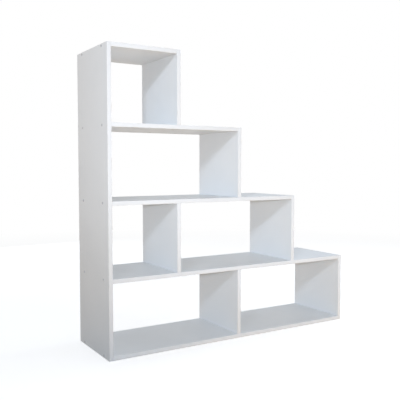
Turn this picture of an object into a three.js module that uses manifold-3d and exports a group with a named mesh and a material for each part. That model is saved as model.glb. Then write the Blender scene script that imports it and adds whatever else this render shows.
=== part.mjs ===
// A free-standing staircase bookshelf. White melamine-faced chipboard boards step down
// from a full-height left side panel to a single low tier at the right. It has no back.
// Lengths are in millimetres and +Z is up. The open front faces -Y, the tall side is at -X.
// The origin lies on the floor, in the middle of the width and of the depth.

import * as THREE from "three";
import { mergeVertices } from "three/addons/utils/BufferGeometryUtils.js";
import Module from "manifold-3d";

const wasm = await Module();
wasm.setup();

// Driving dimensions of the carcass
const overallWidth = 1100;
const overallHeight = 1100;
const overallDepth = 290;
const boardThickness = 15;
const tierCount = 4;

// Front edge bands and the gaps that glued and seated pieces keep
const bandThickness = 0.6;
const glueLine = 0.1;
const seatGap = 0.2;

// Fasteners stand this far in from the front and the rear of every joint
const fastenerInset = 50;
const fastenerClearance = 0.3;
const turnedSides = 12;

// Connecting screw with a countersunk head, a plain shoulder and a hexagon socket
const screwLength = 50;
const screwHeadRadius = 5;
const screwHeadRim = 0.8;
const screwHeadHeight = 3.6;
const screwHeadSink = 0.3;
const screwShoulderRadius = 3.5;
const screwShoulderLength = 12;
const screwShoulderTaper = 1;
const screwCoreRadius = 2.5;
const screwTipRadius = 1.6;
const screwTipHeight = 3;
const socketAcrossFlats = 4;
const socketDepth = 3;

// Wooden dowel that ties the head of a divider to the shelf that lies on it
const dowelLength = 30;
const dowelRadius = 4;
const dowelChamfer = 1;
const dowelDepthInShelf = 10;

// Cutting shapes run this far past the face that they open
const cutOverrun = 2;

// Places that follow from the driving dimensions
const tierPitch = (overallHeight - boardThickness) / tierCount;
const stepPitch = (overallWidth - boardThickness) / tierCount;
const leftFace = -overallWidth / 2;
const frontPlane = -overallDepth / 2;
const rearPlane = overallDepth / 2;
const coreFront = frontPlane + bandThickness + glueLine;
const floorPlane = 0;

// Top face of the board that lies over so many tiers: 0 is the base, tierCount the top
const boardTop = (level) => floorPlane + boardThickness + level * tierPitch;
// Underside of the same board
const boardUnderside = (level) => boardTop(level) - boardThickness;
// Outer face of the upright that ends a tier: tier 1 is the lowest and the longest
const endFace = (tier) => leftFace + boardThickness + (tierCount + 1 - tier) * stepPitch;

const boardName = (level) => {
  if (level === 0) return "base_board";
  return level === tierCount ? "top_board" : `shelf_${level}`;
};

// Directions in which a fastener is driven
const toRight = new THREE.Vector3(1, 0, 0);
const toLeft = new THREE.Vector3(-1, 0, 0);
const upwards = new THREE.Vector3(0, 0, 1);

// Finishes
const melamineWhite = { color: 0xf1f2f2, roughness: 0.38, metalness: 0 };
const bandWhite = { color: 0xf5f6f6, roughness: 0.42, metalness: 0 };
const zincPlate = { color: 0xb9bcbe, roughness: 0.35, metalness: 1 };
const beechWood = { color: 0xd8b98c, roughness: 0.75, metalness: 0 };

// A closed geometry as a solid that can be cut
function solidFrom(geometry) {
  const bare = geometry.clone();
  bare.deleteAttribute("normal");
  bare.deleteAttribute("uv");
  const merged = mergeVertices(bare);
  const vertProperties = merged.attributes.position.array;
  const triVerts = new Uint32Array(merged.index.array);
  return new wasm.Manifold(new wasm.Mesh({ numProp: 3, vertProperties, triVerts }));
}

// A cut solid as a geometry with flat faces
function geometryFrom(solid) {
  const { vertProperties, triVerts } = solid.getMesh();
  const shared = new THREE.BufferGeometry();
  shared.setAttribute("position", new THREE.BufferAttribute(vertProperties, 3));
  shared.setIndex(new THREE.BufferAttribute(triVerts, 1));
  const faceted = shared.toNonIndexed();
  faceted.computeVertexNormals();
  return faceted;
}

// One named piece with a material of its own
function piece(name, geometry, finish) {
  const mesh = new THREE.Mesh(geometry, new THREE.MeshStandardMaterial(finish));
  mesh.name = name;
  return mesh;
}

// A turned shape about its own Y axis, from radius and height pairs that run upwards
function turned(profile) {
  const points = profile.map(([radius, height]) => new THREE.Vector2(radius, height));
  return new THREE.LatheGeometry(points, turnedSides);
}

// The screw points down its own -Y axis and its head face is at zero height.
// Grown by a clearance, and with room above the head, the same outline is its hole.
function screwProfile(grow, above) {
  return [
    [0, -screwLength - grow],
    [screwTipRadius + grow, -screwLength - grow],
    [screwCoreRadius + grow, screwTipHeight - screwLength],
    [screwCoreRadius + grow, -screwShoulderLength - screwShoulderTaper],
    [screwShoulderRadius + grow, -screwShoulderLength],
    [screwShoulderRadius + grow, -screwHeadHeight],
    [screwHeadRadius + grow, -screwHeadRim],
    [screwHeadRadius + grow, above],
    [0, above],
  ];
}

function screwGeometry() {
  const socketRadius = socketAcrossFlats / Math.sqrt(3);
  const socketHeight = socketDepth + cutOverrun;
  const socket = new THREE.CylinderGeometry(socketRadius, socketRadius, socketHeight, 6);
  socket.translate(0, socketHeight / 2 - socketDepth, 0);
  const blank = solidFrom(turned(screwProfile(0, 0)));
  return geometryFrom(blank.subtract(solidFrom(socket)));
}

// The dowel stands on end, and its head lies inside the shelf.
// Zero height is the underside of that shelf.
function dowelProfile(grow) {
  const head = dowelDepthInShelf + grow;
  const foot = dowelDepthInShelf - dowelLength - grow;
  return [
    [0, foot],
    [dowelRadius - dowelChamfer + grow, foot],
    [dowelRadius + grow, foot + dowelChamfer],
    [dowelRadius + grow, head - dowelChamfer],
    [dowelRadius - dowelChamfer + grow, head],
    [0, head],
  ];
}

// Fastener shapes, each with the hole that it needs and the way that its outline points
const screw = {
  kind: "screw",
  geometry: screwGeometry(),
  hole: turned(screwProfile(fastenerClearance, screwHeadSink + cutOverrun)),
  axis: new THREE.Vector3(0, -1, 0),
  finish: zincPlate,
};
const dowel = {
  kind: "dowel",
  geometry: turned(dowelProfile(0)),
  hole: turned(dowelProfile(fastenerClearance)),
  axis: new THREE.Vector3(0, 1, 0),
  finish: beechWood,
};

// Boards by name, each with its lowest and highest corner and the holes cut in it
const boards = new Map();

function addBoard(name, left, right, bottom, top) {
  const low = new THREE.Vector3(left, coreFront, bottom);
  const high = new THREE.Vector3(right, rearPlane, top);
  boards.set(name, { low, high, holes: [] });
}

// The left side panel covers the left ends of all the level boards
function planBoards() {
  const leftSeat = leftFace + boardThickness + seatGap;
  addBoard("left_side_panel", leftFace, leftFace + boardThickness, floorPlane, overallHeight);
  addBoard(boardName(0), leftSeat, endFace(1) - boardThickness - seatGap, floorPlane, boardTop(0));
  for (let tier = 1; tier <= tierCount; tier += 1) {
    const outer = endFace(tier);
    const inner = outer - boardThickness;
    const foot = tier === 1 ? floorPlane : boardTop(tier - 1) + seatGap;
    addBoard(boardName(tier), leftSeat, inner - seatGap, boardUnderside(tier), boardTop(tier));
    addBoard(`tier_${tier}_end_panel`, inner, outer, foot, boardTop(tier));
  }
  // A divider stands in line with the end panel two tiers above it
  for (let tier = 1; tier <= tierCount - 2; tier += 1) {
    const right = endFace(tier + 2);
    const bottom = boardTop(tier - 1) + seatGap;
    const top = boardUnderside(tier) - seatGap;
    addBoard(`tier_${tier}_divider`, right - boardThickness, right, bottom, top);
  }
}

const fasteners = new THREE.Group();

// A front and a rear fastener from one board into another, and their holes in both
function fasten(shape, fromBoard, intoBoard, x, z, direction) {
  const rows = { front: frontPlane + fastenerInset, rear: rearPlane - fastenerInset };
  for (const [row, y] of Object.entries(rows)) {
    const name = `${shape.kind}_${fromBoard}_to_${intoBoard}_${row}`;
    const mesh = piece(name, shape.geometry.clone(), shape.finish);
    mesh.position.set(x, y, z);
    mesh.quaternion.setFromUnitVectors(shape.axis, direction);
    mesh.updateMatrix();
    fasteners.add(mesh);
    const hole = shape.hole.clone().applyMatrix4(mesh.matrix);
    boards.get(fromBoard).holes.push(hole);
    boards.get(intoBoard).holes.push(hole);
  }
}

// Screws through the left side panel into the end of every level board
function joinLeftSide() {
  for (let level = 0; level <= tierCount; level += 1) {
    const middle = boardTop(level) - boardThickness / 2;
    fasten(screw, "left_side_panel", boardName(level), leftFace + screwHeadSink, middle, toRight);
  }
}

// Screws through an end panel into the end of a level board beside it
function joinEndPanel(tier, level) {
  const middle = boardTop(level) - boardThickness / 2;
  const headFace = endFace(tier) - screwHeadSink;
  fasten(screw, `tier_${tier}_end_panel`, boardName(level), headFace, middle, toLeft);
}

// Screws from below, through a level board into the foot of an upright that stands on it
function joinFoot(level, upright, uprightRightFace) {
  const middle = uprightRightFace - boardThickness / 2;
  const headFace = boardUnderside(level) + screwHeadSink;
  fasten(screw, boardName(level), upright, middle, headFace, upwards);
}

// Dowels between the head of a divider and the shelf that lies on it
function joinHead(level, divider, dividerRightFace) {
  const middle = dividerRightFace - boardThickness / 2;
  fasten(dowel, boardName(level), divider, middle, boardUnderside(level), upwards);
}

function joinBoards() {
  joinLeftSide();
  joinEndPanel(1, 0);
  for (let tier = 1; tier <= tierCount; tier += 1) joinEndPanel(tier, tier);
  for (let tier = 2; tier <= tierCount; tier += 1) {
    joinFoot(tier - 1, `tier_${tier}_end_panel`, endFace(tier));
  }
  for (let tier = 1; tier <= tierCount - 2; tier += 1) {
    joinFoot(tier - 1, `tier_${tier}_divider`, endFace(tier + 2));
    joinHead(tier, `tier_${tier}_divider`, endFace(tier + 2));
  }
}

// The chipboard core of one board, with its melamine faces and its fastener holes
function boardMesh(name, { low, high, holes }) {
  const size = high.clone().sub(low);
  const middle = low.clone().add(high).multiplyScalar(0.5);
  let core = solidFrom(new THREE.BoxGeometry(size.x, size.y, size.z));
  for (const hole of holes) {
    const local = hole.clone().translate(-middle.x, -middle.y, -middle.z);
    core = core.subtract(solidFrom(local));
  }
  const mesh = piece(name, geometryFrom(core), melamineWhite);
  mesh.position.copy(middle);
  return mesh;
}

// The white band that is glued on the front edge of one board
function bandMesh(name, { low, high }) {
  const strip = new THREE.BoxGeometry(high.x - low.x, bandThickness, high.z - low.z);
  const mesh = piece(`${name}_front_edge`, strip, bandWhite);
  const middle = frontPlane + bandThickness / 2;
  mesh.position.set((low.x + high.x) / 2, middle, (low.z + high.z) / 2);
  return mesh;
}

planBoards();
joinBoards();

const carcass = new THREE.Group();
const frontBands = new THREE.Group();
for (const [name, board] of boards) {
  carcass.add(boardMesh(name, board));
  frontBands.add(bandMesh(name, board));
}

const bookshelf = new THREE.Group();
bookshelf.add(carcass, frontBands, fasteners);

export default bookshelf;
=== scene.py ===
# %% [markdown]
# # A white staircase bookshelf
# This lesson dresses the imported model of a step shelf. The real one is made of twelve boards of
# white melamine-faced chipboard, edge bands, connecting screws and a few dowels. Nothing on it
# moves. The model gives every size and place, so the first cell loads it and reads its box.

# %% Load the model
import math

import bpy
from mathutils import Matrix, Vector


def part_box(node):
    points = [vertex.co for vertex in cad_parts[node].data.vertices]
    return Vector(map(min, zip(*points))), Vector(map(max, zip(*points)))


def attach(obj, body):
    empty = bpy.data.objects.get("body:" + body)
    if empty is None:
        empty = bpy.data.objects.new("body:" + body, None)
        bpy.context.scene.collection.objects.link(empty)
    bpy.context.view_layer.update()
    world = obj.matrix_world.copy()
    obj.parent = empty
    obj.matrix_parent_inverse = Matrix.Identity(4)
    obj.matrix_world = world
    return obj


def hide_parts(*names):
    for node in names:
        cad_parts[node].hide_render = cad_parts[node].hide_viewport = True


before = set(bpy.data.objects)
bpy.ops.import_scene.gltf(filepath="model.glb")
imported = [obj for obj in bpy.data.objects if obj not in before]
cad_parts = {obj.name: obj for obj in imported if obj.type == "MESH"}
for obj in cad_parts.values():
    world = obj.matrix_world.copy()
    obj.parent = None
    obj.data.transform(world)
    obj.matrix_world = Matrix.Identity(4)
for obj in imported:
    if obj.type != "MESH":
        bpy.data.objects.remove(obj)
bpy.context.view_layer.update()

MM = 0.001

# %% [markdown]
# ## The camera
# The photograph was taken from the left of the shelf, a little above its middle. The place and the
# turn of the camera were worked out from the corners of the boards. A camera could also be aimed
# with a Track To constraint, but plain angles are easier to read and to change. The lens follows
# from the focal length in pixels and the width of the picture.

# %% Camera
PHOTO_WIDTH = 400
FOCAL_PIXELS = 584.8
SENSOR_WIDTH = 36
CAMERA_PLACE = Vector((-1.3242, -2.0116, 0.6785))
CAMERA_TURN_RIGHT = math.radians(31.47)
CAMERA_TILT_DOWN = math.radians(3.30)

bpy.ops.object.camera_add(
    location=CAMERA_PLACE,
    rotation=(math.pi / 2 - CAMERA_TILT_DOWN, 0, -CAMERA_TURN_RIGHT),
)
camera = bpy.context.object
camera.data.sensor_width = SENSOR_WIDTH
camera.data.lens = FOCAL_PIXELS / PHOTO_WIDTH * SENSOR_WIDTH
bpy.context.scene.camera = camera
print("Lens", round(camera.data.lens, 2), "mm, camera", round(CAMERA_PLACE.length, 2), "m away")

# %% [markdown]
# ## Helpers for working by hand in code
# An operator acts on whatever is selected, so each step first selects one object and nothing else.
# Edges and faces are selected by their place, which is how a hand would pick them in edit mode.

# %% Selecting
def pick(piece):
    """Makes one object the only selected one, and the active one."""
    bpy.ops.object.select_all(action="DESELECT")
    piece.select_set(True)
    bpy.context.view_layer.objects.active = piece


def mark(piece, parts, wanted):
    """Selects the edges or faces whose corners all pass the test, and stays in edit mode."""
    pick(piece)
    bpy.ops.object.mode_set(mode="EDIT")
    bpy.ops.mesh.select_mode(type="EDGE" if parts == "edges" else "FACE")
    bpy.ops.mesh.select_all(action="DESELECT")
    bpy.ops.object.mode_set(mode="OBJECT")
    corners = piece.data.vertices
    found = piece.data.edges if parts == "edges" else piece.data.polygons
    for part in found:
        part.select = all(wanted(corners[i].co) for i in part.vertices)
    bpy.ops.object.mode_set(mode="EDIT")


def leave(piece):
    """Goes back to object mode and puts the origin of the piece at the world's origin."""
    bpy.ops.object.mode_set(mode="OBJECT")
    pick(piece)
    bpy.ops.object.transform_apply(location=True, rotation=True, scale=True)


CLOSE_ENOUGH = 0.01 * MM


def near(value, target):
    """True if two lengths are as good as equal."""
    return abs(value - target) < CLOSE_ENOUGH


print("Lengths count as equal within", round(CLOSE_ENOUGH / MM, 3), "mm")

# %% [markdown]
# ## Helpers for solids
# Boards and bands start as a cube that is scaled to its box. Screws and dowels are turned up from
# a flat disc, rim by rim, as on a lathe. Spin would also make them, but an extruded disc is closed
# from the start.

# %% Blocks and turned solids
def block(name, low, high):
    """A block that fills the box between two corners."""
    bpy.ops.object.select_all(action="DESELECT")
    bpy.ops.mesh.primitive_cube_add(size=1, location=(low + high) / 2, scale=high - low)
    piece = bpy.context.object
    piece.name = name
    bpy.ops.object.transform_apply(location=True, rotation=True, scale=True)
    return piece


def turned(name, profile, sides):
    """A turned solid: a disc is extruded upwards and each new rim is resized.
    The profile lists radius and height from the bottom to the top."""
    bpy.ops.object.select_all(action="DESELECT")
    radius, height = profile[0]
    bpy.ops.mesh.primitive_circle_add(
        vertices=sides, radius=radius, fill_type="NGON", location=(0, 0, height)
    )
    piece = bpy.context.object
    piece.name = name
    bpy.ops.object.mode_set(mode="EDIT")
    bpy.ops.mesh.select_all(action="SELECT")
    for (old_radius, old_height), (radius, height) in zip(profile, profile[1:]):
        rise = (0, 0, height - old_height)
        bpy.ops.mesh.extrude_region_move(TRANSFORM_OT_translate={"value": rise})
        share = radius / old_radius
        bpy.ops.transform.resize(value=(share, share, 1), center_override=(0, 0, height))
    bpy.ops.mesh.select_all(action="SELECT")
    bpy.ops.mesh.normals_make_consistent(inside=False)
    leave(piece)
    return piece


print("Blocks and turned solids can be made")

# %% [markdown]
# Holes, sockets and threads are booleans: one solid is cut out of another or joined on. The exact
# solver keeps the result closed, but where two cuts meet it can leave corners on each other. So
# these are merged straight after. Round walls are then shaded smooth and their creases stay sharp.

# %% Booleans and shading
DOUBLES = 0.002 * MM


def combine(piece, tool, operation):
    """Cuts a tool out of a piece, or joins it on, removes the tool and merges doubled corners."""
    pick(piece)
    change = piece.modifiers.new(operation.lower(), "BOOLEAN")
    change.operation = operation
    change.solver = "EXACT"
    change.material_mode = "TRANSFER"
    change.object = tool
    bpy.ops.object.modifier_apply(modifier=change.name)
    bpy.data.objects.remove(tool)
    bpy.ops.object.mode_set(mode="EDIT")
    bpy.ops.mesh.select_all(action="SELECT")
    bpy.ops.mesh.remove_doubles(threshold=DOUBLES)
    bpy.ops.object.mode_set(mode="OBJECT")


def smooth(piece, degrees):
    """Smooth shading, with every crease steeper than the angle left sharp."""
    pick(piece)
    bpy.ops.object.shade_smooth_by_angle(angle=math.radians(degrees))


print("Corners closer than", round(DOUBLES / MM, 4), "mm are merged")

# %% [markdown]
# ## Shared effects as node groups
# White furniture foil is never one flat colour. It has a fine pearl grain that breaks up the gloss,
# and faint clouds where hands and cloths have been. The clouds are wanted on the boards and on the
# edge bands, and the grain on the boards, so each is a node group with its own inputs. A painted
# texture would also do, but a procedural one needs no image and has no seams.

# %% Node group helpers
def new_group(name, inputs, outputs):
    """An empty shader node group with float or vector inputs and float outputs."""
    group = bpy.data.node_groups.new(name, "ShaderNodeTree")
    for label, default in inputs:
        kind = "NodeSocketVector" if default is None else "NodeSocketFloat"
        made = group.interface.new_socket(name=label, in_out="INPUT", socket_type=kind)
        if default is not None:
            made.default_value = default
    for label in outputs:
        group.interface.new_socket(name=label, in_out="OUTPUT", socket_type="NodeSocketFloat")
    source = group.nodes.new("NodeGroupInput")
    target = group.nodes.new("NodeGroupOutput")
    return group, source, target


def noise(tree, vector, scale, detail, roughness=0.5):
    """A noise texture on given coordinates. The scale is a number or another node's output."""
    texture = tree.nodes.new("ShaderNodeTexNoise")
    texture.inputs["Detail"].default_value = detail
    texture.inputs["Roughness"].default_value = roughness
    tree.links.new(vector, texture.inputs["Vector"])
    if isinstance(scale, (int, float)):
        texture.inputs["Scale"].default_value = scale
    else:
        tree.links.new(scale, texture.inputs["Scale"])
    return texture.outputs["Fac"]


def spread(tree, value, low, high, to_low, to_high):
    """Maps a value from one range to another and holds it there."""
    node = tree.nodes.new("ShaderNodeMapRange")
    tree.links.new(value, node.inputs["Value"])
    numbers = {"From Min": low, "From Max": high, "To Min": to_low, "To Max": to_high}
    for label, number in numbers.items():
        node.inputs[label].default_value = number
    return node.outputs["Result"]


print("Node group helpers ready")

# %% Pearl grain
GRAIN_PER_METRE = 650

pearl, pearl_in, pearl_out = new_group(
    "pearl_grain", [("Vector", None), ("Grain", GRAIN_PER_METRE)], ["Height"]
)
dimples = noise(
    pearl, pearl_in.outputs["Vector"], pearl_in.outputs["Grain"], detail=2, roughness=0.55
)
pearl.links.new(dimples, pearl_out.inputs["Height"])
print("Pearl grain has about", GRAIN_PER_METRE, "dimples in a metre")

# %% Handling marks
CLOUDS_PER_METRE = 5
CLOUD_RANGE = (0.35, 0.65)
SMEARS_PER_METRE = 17
SMEAR_RANGE = (0.42, 0.70)

marks, marks_in, marks_out = new_group("handling_marks", [("Vector", None)], ["Cloud", "Smear"])
place = marks_in.outputs["Vector"]
cloud = noise(marks, place, CLOUDS_PER_METRE, detail=4)
smear = noise(marks, place, SMEARS_PER_METRE, detail=6, roughness=0.6)
marks.links.new(spread(marks, cloud, *CLOUD_RANGE, 0, 1), marks_out.inputs["Cloud"])
marks.links.new(spread(marks, smear, *SMEAR_RANGE, 0, 1), marks_out.inputs["Smear"])
print("Clouds every", round(1 / CLOUDS_PER_METRE, 2), "m")

# %% [markdown]
# ## The finishes
# Melamine foil, edge band, chipboard, zinc plate and beech each get a material of their own, built
# on the Principled BSDF. The shader itself stays in each material, and only colours, masks and
# heights come out of the groups. All patterns read Object coordinates, so they have their real
# size and run on from one face of a piece to the next.

# %% Material helpers
def new_material(name, metallic=0.0, specular=0.5):
    """A material with a Principled BSDF, and Object coordinates to build on."""
    material = bpy.data.materials.new(name)
    material.use_nodes = True
    tree = material.node_tree
    shader = tree.nodes["Principled BSDF"]
    shader.inputs["Metallic"].default_value = metallic
    shader.inputs["Specular IOR Level"].default_value = specular
    place = tree.nodes.new("ShaderNodeTexCoord").outputs["Object"]
    return material, tree, shader, place


def use_group(tree, group, vector):
    """Places a shared node group in a material and feeds it coordinates."""
    node = tree.nodes.new("ShaderNodeGroup")
    node.node_tree = group
    tree.links.new(vector, node.inputs["Vector"])
    return node


def two_tones(tree, mask, first, second):
    """A colour that runs from the first tone to the second as the mask rises.
    A Mix node has sockets for each kind of value, and those of a colour are 6, 7 and output 2."""
    mix = tree.nodes.new("ShaderNodeMix")
    mix.data_type = "RGBA"
    mix.inputs[6].default_value = (*first, 1)
    mix.inputs[7].default_value = (*second, 1)
    tree.links.new(mask, mix.inputs[0])
    return mix.outputs[2]


def add_bump(tree, shader, height, strength, depth):
    """Turns a height into a fine relief on the surface."""
    bump = tree.nodes.new("ShaderNodeBump")
    bump.inputs["Strength"].default_value = strength
    bump.inputs["Distance"].default_value = depth
    tree.links.new(height, bump.inputs["Height"])
    tree.links.new(bump.outputs["Normal"], shader.inputs["Normal"])


print("Material helpers ready")

# %% [markdown]
# The boards have a satin white melamine foil. Its clouds move between two near whites, smears make
# its gloss uneven, and the pearl grain is a fine bump that spreads the reflections.

# %% White melamine
MELAMINE_TONES = ((0.775, 0.797, 0.818), (0.800, 0.820, 0.838))
MELAMINE_ROUGHNESS = (0.46, 0.54)

melamine, tree, shader, place = new_material("white_melamine", specular=0.18)
touched = use_group(tree, marks, place)
grain = use_group(tree, pearl, place)
tone = two_tones(tree, touched.outputs["Cloud"], *MELAMINE_TONES)
gloss = spread(tree, touched.outputs["Smear"], 0, 1, *MELAMINE_ROUGHNESS)
tree.links.new(tone, shader.inputs["Base Color"])
tree.links.new(gloss, shader.inputs["Roughness"])
add_bump(tree, shader, grain.outputs["Height"], strength=0.7, depth=0.1 * MM)
print("Melamine runs between", MELAMINE_TONES)

# %% [markdown]
# The edge bands are a smooth white plastic, a little less blue than the foil. The scraper that
# trims them leaves faint lines along their length. Noise that is stretched along the band gives
# such lines, and as a band can run along any axis, there is one material for each.

# %% White edge band
BAND_TONES = ((0.740, 0.744, 0.750), (0.763, 0.766, 0.770))
BAND_ROUGHNESS = (0.40, 0.50)
LINES_PER_METRE = 1400
LINES_ALONG = 6


def band_material(along):
    """Edge band plastic whose scraper lines run along the given axis, 0 for X to 2 for Z."""
    material, tree, shader, place = new_material(f"white_edge_band_{'xyz'[along]}", specular=0.25)
    stretch = tree.nodes.new("ShaderNodeMapping")
    scale = [LINES_PER_METRE] * 3
    scale[along] = LINES_ALONG
    stretch.inputs["Scale"].default_value = scale
    tree.links.new(place, stretch.inputs["Vector"])
    lines = noise(tree, stretch.outputs["Vector"], 1, detail=2)
    touched = use_group(tree, marks, place)
    tone = two_tones(tree, touched.outputs["Cloud"], *BAND_TONES)
    gloss = spread(tree, lines, 0.3, 0.7, *BAND_ROUGHNESS)
    tree.links.new(tone, shader.inputs["Base Color"])
    tree.links.new(gloss, shader.inputs["Roughness"])
    add_bump(tree, shader, lines, strength=0.2, depth=0.02 * MM)
    return material


band_white = [band_material(axis) for axis in range(3)]
print("Band materials:", [m.name for m in band_white])

# %% [markdown]
# The raw board ends and the walls of the holes show pressed wood chips. A Voronoi texture splits
# the face into such chips and gives each its own random colour. Its red picks the tone of a chip,
# its green the roughness, and the distance to the middle of a chip makes the relief.

# %% Chipboard core
CHIPS_PER_METRE = 420
CHIP_TONES = ((0.30, 0.19, 0.10), (0.62, 0.46, 0.29))
CHIP_ROUGHNESS = (0.75, 0.95)

chipboard, tree, shader, place = new_material("chipboard", specular=0.2)
chips = tree.nodes.new("ShaderNodeTexVoronoi")
chips.inputs["Scale"].default_value = CHIPS_PER_METRE
chips.inputs["Randomness"].default_value = 1
tree.links.new(place, chips.inputs["Vector"])
shade = tree.nodes.new("ShaderNodeSeparateColor")
tree.links.new(chips.outputs["Color"], shade.inputs["Color"])
tone = two_tones(tree, shade.outputs["Red"], *CHIP_TONES)
gloss = spread(tree, shade.outputs["Green"], 0, 1, *CHIP_ROUGHNESS)
tree.links.new(tone, shader.inputs["Base Color"])
tree.links.new(gloss, shader.inputs["Roughness"])
add_bump(tree, shader, chips.outputs["Distance"], strength=0.6, depth=0.3 * MM)
print("Chipboard has chips of about", round(1000 / CHIPS_PER_METRE, 1), "mm")

# %% [markdown]
# The screws are steel with a bright zinc plate. Its fine crystals make patches that differ a little
# in tone and gloss, which a small noise gives. A metal is told by its reflections, so it needs no
# bump.

# %% Zinc plate
ZINC_TONES = ((0.46, 0.49, 0.54), (0.60, 0.63, 0.68))
ZINC_ROUGHNESS = (0.28, 0.42)
PATCHES_PER_METRE = 900

zinc, tree, shader, place = new_material("zinc_plate", metallic=1.0)
patches = noise(tree, place, PATCHES_PER_METRE, detail=3)
tone = two_tones(tree, patches, *ZINC_TONES)
gloss = spread(tree, patches, 0.3, 0.7, *ZINC_ROUGHNESS)
tree.links.new(tone, shader.inputs["Base Color"])
tree.links.new(gloss, shader.inputs["Roughness"])
print("Zinc patches of about", round(1000 / PATCHES_PER_METRE, 1), "mm")

# %% [markdown]
# The dowels are beech, cut along the grain. They all stand upright, so their fibres run along Z.
# The stretched noise of the bands makes them too, with shorter lines, warm tones and less gloss.

# %% Beech
BEECH_TONES = ((0.52, 0.33, 0.17), (0.68, 0.47, 0.27))
BEECH_ROUGHNESS = (0.6, 0.8)
FIBRES_PER_METRE = (1500, 1500, 60)

beech, tree, shader, place = new_material("beech", specular=0.3)
stretch = tree.nodes.new("ShaderNodeMapping")
stretch.inputs["Scale"].default_value = FIBRES_PER_METRE
tree.links.new(place, stretch.inputs["Vector"])
fibres = noise(tree, stretch.outputs["Vector"], 1, detail=3)
tone = two_tones(tree, fibres, *BEECH_TONES)
gloss = spread(tree, fibres, 0.3, 0.7, *BEECH_ROUGHNESS)
tree.links.new(tone, shader.inputs["Base Color"])
tree.links.new(gloss, shader.inputs["Roughness"])
add_bump(tree, shader, fibres, strength=0.4, depth=0.05 * MM)
print("Beech has", FIBRES_PER_METRE[0], "fibres across a metre")

# %% [markdown]
# ## Where each fastener goes
# Every screw and dowel of the model is named after the two boards that it joins. Its box gives its
# axis and both its ends, and the two boards say which way it is driven. So no place is typed here.

# %% Read the fasteners from the model
def centre(node):
    """The middle of a node's box."""
    low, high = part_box(node)
    return (low + high) / 2


def read_fastener(node):
    """The boards that a fastener joins, the point where it starts and the way that it is driven."""
    first, rest = node.split("_to_")
    kind, through = first.split("_", 1)
    into = rest.rsplit("_", 1)[0]
    low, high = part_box(node)
    size = high - low
    axis = max(range(3), key=lambda i: size[i])
    side = 1 if centre(into)[axis] > centre(through)[axis] else -1
    way = Vector([side if i == axis else 0 for i in range(3)])
    start = centre(node) - way * size[axis] / 2
    return {"node": node, "kind": kind, "boards": (through, into), "start": start, "way": way}


kinds = ("screw_", "dowel_")
fasteners = [read_fastener(n) for n in sorted(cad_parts) if n.startswith(kinds)]
bands = [n for n in sorted(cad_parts) if n.endswith("_front_edge")]
boards = [n for n in sorted(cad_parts) if n + "_front_edge" in bands]
print(len(boards), "boards,", len(bands), "bands and", len(fasteners), "fasteners")

# %% [markdown]
# ## The connecting screw
# A connecting screw for chipboard has a flat countersunk head with a hexagon socket, a short plain
# shoulder and a coarse thread with a blunt tip. The blank is turned up from a disc, the thread is a
# small triangle wound by the Screw modifier, and the socket is cut with a six-sided prism. The
# screw is modelled once, pointing down, with its head face at the origin, and then copied.

# %% Screw blank
screw_low, screw_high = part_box(next(f["node"] for f in fasteners if f["kind"] == "screw"))
SCREW_LENGTH = max(screw_high - screw_low)
HEAD_RADIUS = 5.0 * MM
HEAD_RIM = 0.8 * MM
HEAD_HEIGHT = 3.6 * MM
SHOULDER_RADIUS = 3.5 * MM
SHOULDER_LENGTH = 12 * MM
SHOULDER_TAPER = 1 * MM
CORE_RADIUS = 2.5 * MM
TIP_RADIUS = 1.6 * MM
TIP_HEIGHT = 3 * MM
RIM_ROUNDING = 0.2 * MM
SCREW_SIDES = 32


def screw_profile(grow):
    """Radius and height of the screw from its tip up, or of its hole when it grows."""
    return [
        (TIP_RADIUS + grow, -SCREW_LENGTH - grow),
        (CORE_RADIUS + grow, TIP_HEIGHT - SCREW_LENGTH),
        (CORE_RADIUS + grow, -SHOULDER_LENGTH - SHOULDER_TAPER),
        (SHOULDER_RADIUS + grow, -SHOULDER_LENGTH),
        (SHOULDER_RADIUS + grow, -HEAD_HEIGHT),
        (HEAD_RADIUS + grow, -HEAD_RIM),
    ]


head_face = [(HEAD_RADIUS, -RIM_ROUNDING), (HEAD_RADIUS - RIM_ROUNDING, 0)]
screw = turned("screw_master", screw_profile(0) + head_face, SCREW_SIDES)
print("Screw blank", round(SCREW_LENGTH / MM, 1), "mm long")

# %% Screw thread
THREAD_PITCH = 3 * MM
THREAD_TURNS = 10
THREAD_HEIGHT = 1.0 * MM
THREAD_STEPS = 20
THREAD_RUN_IN = 1.5 * MM
THREAD_START = TIP_HEIGHT - SCREW_LENGTH + THREAD_RUN_IN

bpy.ops.object.select_all(action="DESELECT")
bpy.ops.mesh.primitive_circle_add(
    vertices=3,
    radius=THREAD_HEIGHT,
    fill_type="NOTHING",
    location=(CORE_RADIUS, 0, THREAD_START),
    rotation=(math.pi / 2, math.pi / 2, 0),
)
thread = bpy.context.object
thread.name = "thread"
bpy.ops.object.transform_apply(location=True, rotation=True, scale=True)
winding = thread.modifiers.new("winding", "SCREW")
winding.axis = "Z"
winding.screw_offset = THREAD_PITCH
winding.iterations = THREAD_TURNS
winding.steps = THREAD_STEPS
winding.render_steps = THREAD_STEPS
bpy.ops.object.modifier_apply(modifier=winding.name)
bpy.ops.object.mode_set(mode="EDIT")
bpy.ops.mesh.select_mode(type="EDGE")
bpy.ops.mesh.select_all(action="DESELECT")
bpy.ops.mesh.select_non_manifold()
bpy.ops.mesh.edge_face_add()
bpy.ops.mesh.select_all(action="SELECT")
bpy.ops.mesh.normals_make_consistent(inside=False)
bpy.ops.object.mode_set(mode="OBJECT")
print("Thread ridge has", len(thread.data.polygons), "faces")

# %% Socket and finish of the screw
SOCKET_ACROSS_FLATS = 4.0 * MM
SOCKET_DEPTH = 3.0 * MM
SOCKET_SIDES = 6
SOCKET_OVERSHOOT = 1 * MM

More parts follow.
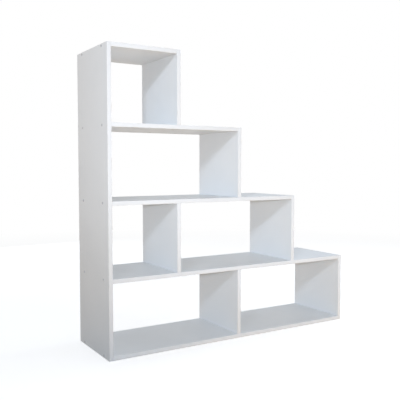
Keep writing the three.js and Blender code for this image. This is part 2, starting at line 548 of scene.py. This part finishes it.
socket_radius = SOCKET_ACROSS_FLATS / 2 / math.cos(math.pi / SOCKET_SIDES)
socket_profile = [(socket_radius, -SOCKET_DEPTH), (socket_radius, SOCKET_OVERSHOOT)]
socket = turned("socket", socket_profile, SOCKET_SIDES)
combine(screw, thread, "UNION")
combine(screw, socket, "DIFFERENCE")
screw.data.materials.clear()
screw.data.materials.append(zinc)
smooth(screw, 35)
print("Finished screw has", len(screw.data.polygons), "faces")

# %% [markdown]
# ## The fluted dowel
# The two dividers are held at their heads by beech dowels, because a screw from above would show.
# A real dowel has pointed ends and fine flutes that let the glue flow. It is turned like the screw,
# and then every third line of corners is pressed inwards to make the flutes.

# %% Dowel
dowel_low, dowel_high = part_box(next(f["node"] for f in fasteners if f["kind"] == "dowel"))
DOWEL_LENGTH = max(dowel_high - dowel_low)
DOWEL_RADIUS = 4.0 * MM
DOWEL_CHAMFER = 1.0 * MM
DOWEL_SIDES = 54
FLUTE_SPACING = 3
FLUTE_SCALE = 0.92


def dowel_profile(grow):
    """Radius and height of the dowel, or of its hole when it grows."""
    return [
        (DOWEL_RADIUS - DOWEL_CHAMFER + grow, -DOWEL_LENGTH - grow),
        (DOWEL_RADIUS + grow, DOWEL_CHAMFER - DOWEL_LENGTH - grow),
        (DOWEL_RADIUS + grow, grow - DOWEL_CHAMFER),
        (DOWEL_RADIUS - DOWEL_CHAMFER + grow, grow),
    ]


dowel = turned("dowel_master", dowel_profile(0), DOWEL_SIDES)
pick(dowel)
bpy.ops.object.mode_set(mode="EDIT")
bpy.ops.mesh.select_mode(type="VERT")
bpy.ops.mesh.select_all(action="DESELECT")
bpy.ops.object.mode_set(mode="OBJECT")
for corner in dowel.data.vertices:
    line = round(math.atan2(corner.co.y, corner.co.x) / math.tau * DOWEL_SIDES)
    corner.select = line % FLUTE_SPACING == 0
bpy.ops.object.mode_set(mode="EDIT")
bpy.ops.transform.resize(value=(FLUTE_SCALE, FLUTE_SCALE, 1), center_override=(0, 0, 0))
bpy.ops.object.mode_set(mode="OBJECT")
dowel.data.materials.append(beech)
flutes = DOWEL_SIDES // FLUTE_SPACING
print("Dowel", round(DOWEL_LENGTH / MM, 1), "mm long with", flutes, "flutes")

# %% [markdown]
# ## Copies of the fasteners
# Each copy gets a mesh of its own. It is turned into its direction and moved to its place, and then
# the turn and the move are applied, so that its object stays at the world's origin.

# %% Place the fasteners
def place_copy(master, fastener, name):
    """Copies a master that points down, and sets it at a fastener's start along its way."""
    pick(master)
    bpy.ops.object.duplicate(linked=False)
    piece = bpy.context.object
    piece.name = name
    piece.rotation_mode = "QUATERNION"
    piece.rotation_quaternion = Vector((0, 0, -1)).rotation_difference(fastener["way"])
    piece.location = fastener["start"]
    bpy.ops.object.transform_apply(location=True, rotation=True, scale=True)
    return piece


masters = {"screw": screw, "dowel": dowel}
for fastener in fasteners:
    kind = fastener["kind"]
    name = fastener["node"].replace(kind, "threaded" if kind == "screw" else "fluted", 1)
    piece = place_copy(masters[kind], fastener, name)
    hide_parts(fastener["node"])
    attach(piece, "root")
print("Placed", len(fasteners), "fasteners")

# %% [markdown]
# ## The boards
# A furniture board is a chipboard core between two sheets of foil. Its long edges and its open ends
# are banded and the ends that meet another board are left raw. Each board starts as a block, and
# the narrow faces are inset by the thickness of the foil to show the core. The foil is cut with a
# crisp edge, so nothing is bevelled here. The holes are cut with grown copies of the fasteners, so
# they always fit, and their walls show the core too.

# %% Board measures
BAND_DEPTH = 0.7 * MM
FOIL_THICKNESS = 0.25 * MM
HOLE_CLEARANCE = 0.15 * MM
HOLE_OVERSHOOT = 2 * MM
HOLE_SIDES = 24

hole_mouth = [(HEAD_RADIUS + HOLE_CLEARANCE, HOLE_OVERSHOOT)]
cutters = {
    "screw": turned("screw_hole", screw_profile(HOLE_CLEARANCE) + hole_mouth, HOLE_SIDES),
    "dowel": turned("dowel_hole", dowel_profile(HOLE_CLEARANCE), HOLE_SIDES),
}
for cutter in cutters.values():
    cutter.data.materials.append(chipboard)
print("Hole cutters are", round(HOLE_CLEARANCE / MM, 2), "mm larger all round")

# %% Upright and level boards
UPRIGHT_LIMIT = 20 * MM

uprights = [n for n in boards if (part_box(n)[1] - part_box(n)[0]).x < UPRIGHT_LIMIT]
topped = [n for n in uprights if not n.endswith("divider")]
print("Uprights with a banded top:", topped)


# %% Make a board
def expose_core(piece, axis, side):
    """Insets the face at one end of an axis by the foil, and gives the inside the core's look."""
    limit = max(side * v.co[axis] for v in piece.data.vertices)
    mark(piece, "faces", lambda co: near(side * co[axis], limit))
    bpy.ops.mesh.inset(thickness=FOIL_THICKNESS)
    piece.active_material_index = 1
    bpy.ops.object.material_slot_assign()
    bpy.ops.object.mode_set(mode="OBJECT")


def make_board(node):
    """A banded board with raw ends and drilled holes, in the place of a node of the model."""
    low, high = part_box(node)
    high.y -= BAND_DEPTH
    if node in topped:
        high.z -= BAND_DEPTH
    piece = block("board_" + node, low, high)
    piece.data.materials.append(melamine)
    piece.data.materials.append(chipboard)
    along = 2 if node in uprights else 0
    for axis, side in ((1, -1), (1, 1), (along, -1), (along, 1)):
        expose_core(piece, axis, side)
    for fastener in fasteners:
        if node in fastener["boards"]:
            cutter = place_copy(cutters[fastener["kind"]], fastener, "cutter")
            combine(piece, cutter, "DIFFERENCE")
    smooth(piece, 30)
    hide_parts(node)
    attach(piece, "root")
    return piece


for node in boards:
    piece = make_board(node)
    print(piece.name, len(piece.data.polygons), "faces")

# %% [markdown]
# ## The edge bands
# The band is a thin strip of white plastic, glued on and trimmed so that its long edges are
# slightly round. Those round edges catch the light and make the bright outline of each board. The
# model has the front bands. The rear bands and the bands on the tops of the uprights are made the
# same way, in the space that the boards leave.

# %% Make the bands
BAND_ROUNDING = 0.45 * MM
BAND_SEGMENTS = 3


def make_band(name, low, high, outward):
    """A band that fills a box, with the edges of its outer face rounded."""
    size = high - low
    along = max(range(3), key=lambda i: size[i])
    axis, side = outward
    piece = block(name, low, high)
    piece.data.materials.append(band_white[along])
    limit = max(side * low[axis], side * high[axis])
    mark(piece, "edges", lambda co: near(side * co[axis], limit))
    bpy.ops.mesh.bevel(offset=BAND_ROUNDING, segments=BAND_SEGMENTS, affect="EDGES")
    bpy.ops.object.mode_set(mode="OBJECT")
    smooth(piece, 40)
    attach(piece, "root")
    return piece


for node in bands:
    low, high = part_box(node)
    board = node.removesuffix("_front_edge")
    high.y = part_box(board)[0].y
    piece = make_band("band_front_" + board, low, high, (1, -1))
    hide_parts(node)
print("Made", len(bands), "front bands")

# %% Rear and top bands
for board in boards:
    low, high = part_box(board)
    low.y = high.y - BAND_DEPTH
    make_band("band_rear_" + board, low, high, (1, 1))
for board in topped:
    low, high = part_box(board)
    low.z = high.z - BAND_DEPTH
    high.y -= BAND_DEPTH
    make_band("band_top_" + board, low, high, (2, 1))
print("Made", len(boards), "rear bands and", len(topped), "top bands")

# %% Clear the masters away
for master in (screw, dowel, *cutters.values()):
    bpy.data.objects.remove(master)
print("Masters removed")

# %% [markdown]
# ## Floor and background
# The shelf stands on a plain pale floor. In the photograph the floor can't be told from the white
# background. So the floor is lit like everything else near the shelf, where it keeps the shelf's
# shadow, and it fades into the white of the world with distance. The light that a floor throws back
# has the floor's colour. In the photograph it makes the undersides beige, and the left side fades
# to grey towards its foot. So the soft light that this floor throws back is warm, and it is dark
# beside the left foot. The Light Path node tells the kinds of ray apart: the camera, the metal and
# the gloss of the boards all see the pale floor. A coloured floor would do the same with fewer
# nodes, but then the picture would show its colour.

# %% Rays that see the background
def background_rays(tree):
    """One for camera, glossy and transmission rays, and zero for the rays of soft light."""
    ray = tree.nodes.new("ShaderNodeLightPath")
    seen_by = ray.outputs["Is Camera Ray"]
    for kind in ("Is Glossy Ray", "Is Transmission Ray"):
        either = tree.nodes.new("ShaderNodeMath")
        either.operation = "MAXIMUM"
        tree.links.new(seen_by, either.inputs[0])
        tree.links.new(ray.outputs[kind], either.inputs[1])
        seen_by = either.outputs[0]
    return seen_by


print("Rays can be told apart")

# %% Floor and world helpers
def mix_shaders(tree, share, first, second):
    """A shader that runs from the first to the second as the share rises."""
    mix = tree.nodes.new("ShaderNodeMixShader")
    tree.links.new(share, mix.inputs[0])
    tree.links.new(first, mix.inputs[1])
    tree.links.new(second, mix.inputs[2])
    return mix.outputs[0]


def white_light(tree, strength):
    """An emission of plain white."""
    node = tree.nodes.new("ShaderNodeEmission")
    node.inputs["Strength"].default_value = strength
    return node.outputs[0]


def distance_from(tree, place, point):
    """How far each place on a surface is from a point, in metres."""
    node = tree.nodes.new("ShaderNodeVectorMath")
    node.operation = "DISTANCE"
    tree.links.new(place, node.inputs[0])
    node.inputs[1].default_value = point
    return node.outputs["Value"]


print("Floor and world helpers ready")

# %% Floor
FLOOR_SIZE = 60
FLOOR_GAP = 0.3 * MM

bpy.ops.object.select_all(action="DESELECT")
bpy.ops.mesh.primitive_plane_add(size=FLOOR_SIZE, location=(0, 0, -FLOOR_GAP))
floor = bpy.context.object
floor.name = "pale_floor"
print("Floor", FLOOR_SIZE, "m wide")

# %% The floor that the camera sees
FLOOR_COLOUR = (0.82, 0.815, 0.81)
FLOOR_ROUGHNESS = 0.9
FLOOR_GLOW = 0.45
SHELF_FOOT = (0, 0, 0)
FADE_START = 0.9
FADE_END = 4.0

floor_paint, tree, shader, place = new_material("pale_floor_paint", specular=0.1)
floor.data.materials.append(floor_paint)
shader.inputs["Base Color"].default_value = (*FLOOR_COLOUR, 1)
shader.inputs["Roughness"].default_value = FLOOR_ROUGHNESS
lit = tree.nodes.new("ShaderNodeAddShader")
tree.links.new(shader.outputs[0], lit.inputs[0])
tree.links.new(white_light(tree, FLOOR_GLOW), lit.inputs[1])
fade = spread(tree, distance_from(tree, place, SHELF_FOOT), FADE_START, FADE_END, 0, 1)
seen = mix_shaders(tree, fade, lit.outputs[0], white_light(tree, 1))
print("Floor fades out between", FADE_START, "and", FADE_END, "m")

# %% The light that the floor throws back
BOUNCE_COLOUR = (0.87, 0.62, 0.38)
DARK_BOUNCE_COLOUR = (0.26, 0.22, 0.18)
DARK_PLACE = (-0.72, -0.12, 0)
DARK_START = 0.15
DARK_END = 0.6

brightening = spread(tree, distance_from(tree, place, DARK_PLACE), DARK_START, DARK_END, 0, 1)
bounce = tree.nodes.new("ShaderNodeBsdfDiffuse")
bounce_tone = two_tones(tree, brightening, DARK_BOUNCE_COLOUR, BOUNCE_COLOUR)
tree.links.new(bounce_tone, bounce.inputs["Color"])
whole = mix_shaders(tree, background_rays(tree), bounce.outputs[0], seen)
tree.links.new(whole, tree.nodes["Material Output"].inputs["Surface"])
print("Floor throws back light of colour", BOUNCE_COLOUR)

# %% [markdown]
# The world does two jobs. It is the white background, which only the camera, metal and gloss see,
# and it is a weak, slightly cool light from all sides that keeps the shadows open. A sky texture
# could also light the shelf, but it would bring a direction and a colour of its own. The view
# transform is Standard, so that colours render as they are written.

# %% World
AMBIENT_STRENGTH = 0.50
AMBIENT_COLOUR = (0.97, 1.0, 1.04)

world = bpy.data.worlds.new("studio")
bpy.context.scene.world = world
world.use_nodes = True
tree = world.node_tree
ambient = tree.nodes["Background"]
ambient.inputs["Color"].default_value = (*AMBIENT_COLOUR, 1)
ambient.inputs["Strength"].default_value = AMBIENT_STRENGTH
backdrop = tree.nodes.new("ShaderNodeBackground")
backdrop.inputs["Color"].default_value = (1, 1, 1, 1)
backdrop.inputs["Strength"].default_value = 1
whole = mix_shaders(tree, background_rays(tree), ambient.outputs[0], backdrop.outputs[0])
tree.links.new(whole, tree.nodes["World Output"].inputs["Surface"])
bpy.context.scene.view_settings.view_transform = "Standard"
print("Ambient light at", AMBIENT_STRENGTH)

# %% [markdown]
# ## The lamps
# The shadows in the photograph tell where its lamps were. A small flash sat just above the lens: it
# makes the thin dark wedge under the front edges, and its narrow beam is strongest on the upper
# tiers. A larger key lamp stood high at the front left, and it makes the slanting soft shade on the
# end panels. A weak soft light low at the front right brightens the front edges of the low tiers. A
# soft fill at the right and another one behind keep the sides that the photograph doesn't show
# readable. An area lamp suits the wide soft lights, and a spot lamp suits a beam that has to fade
# out towards the floor.

# %% Lamp helpers
LAMP_COLOUR = (0.82, 0.92, 1.04)


def add_lamp(kind, name, place, target, watts):
    """A lamp at one point that looks at another."""
    look = Vector(target) - Vector(place)
    bpy.ops.object.light_add(type=kind, location=place)
    lamp = bpy.context.object
    lamp.name = name
    lamp.rotation_euler = look.to_track_quat("-Z", "Y").to_euler()
    lamp.data.energy = watts
    lamp.data.color = LAMP_COLOUR
    return lamp.data


def add_disc(name, place, target, watts, width):
    """A round area lamp. The wider it is, the softer its shadows are."""
    lamp = add_lamp("AREA", name, place, target, watts)
    lamp.shape = "DISK"
    lamp.size = width
    print(name, watts, "W, a disc", width, "m wide")


def add_beam(name, place, target, watts, radius, cone, blend):
    """A spot lamp with a cone in degrees and a soft rim."""
    lamp = add_lamp("SPOT", name, place, target, watts)
    lamp.shadow_soft_size = radius
    lamp.spot_size = math.radians(cone)
    lamp.spot_blend = blend
    print(name, watts, "W, a beam of", cone, "degrees")


print("Lamp colour", LAMP_COLOUR)

# %% Lamps
FLASH_PLACE = (CAMERA_PLACE.x, CAMERA_PLACE.y, 0.745)
KEY_PLACE = (-3.3, -3.1, 2.4)
FRONT_PLACE = (1.0, -1.35, 0.25)
FILL_PLACE = (2.6, 0.2, 1.4)
REAR_PLACE = (-0.2, 3.0, 0.3)
SHELF_MIDDLE = (-0.05, 0, 0.5)
UPPER_TIERS = (0.1, 0, 0.95)
LOWER_TIERS = (0, 0, 0.2)

add_disc("flash", FLASH_PLACE, SHELF_MIDDLE, watts=18.5, width=0.08)
add_beam("flash_beam", FLASH_PLACE, UPPER_TIERS, watts=24, radius=0.04, cone=46, blend=0.7)
add_beam("key", KEY_PLACE, UPPER_TIERS, watts=260, radius=0.25, cone=27, blend=1)
add_disc("front_fill", FRONT_PLACE, LOWER_TIERS, watts=5.5, width=0.5)
add_disc("fill", FILL_PLACE, SHELF_MIDDLE, watts=22, width=1)
add_disc("rear_fill", REAR_PLACE, SHELF_MIDDLE, watts=22, width=1.4)
